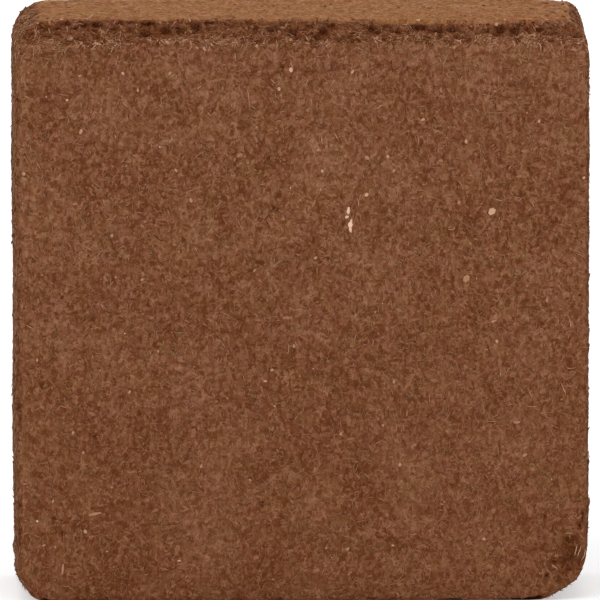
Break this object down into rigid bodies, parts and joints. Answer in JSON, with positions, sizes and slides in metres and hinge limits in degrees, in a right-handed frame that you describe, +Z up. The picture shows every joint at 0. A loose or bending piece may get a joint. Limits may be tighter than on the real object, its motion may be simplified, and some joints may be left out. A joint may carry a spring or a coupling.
{
  "type": "coconut coir bale",
  "caption": "Square block of compressed coconut coir pith and short fibre, standing on a narrow side, with a crumbled upper edge and rounded corners.",
  "frame": {"origin": "on the surface the bale stands on, under the middle of its bounding box", "axes": "+Z up; +Y points from the rough front face, which has the crumbled upper edge, to the back face, through the bale's thickness; +X points to the right as seen by someone who looks at the front face"},
  "size_m": [0.3008, 0.1218, 0.3051],
  "materials": {
    "coir": "matte"
  },
  "bodies": {
    "root": {"coir_bale": "coir"}
  },
  "joints": []
}
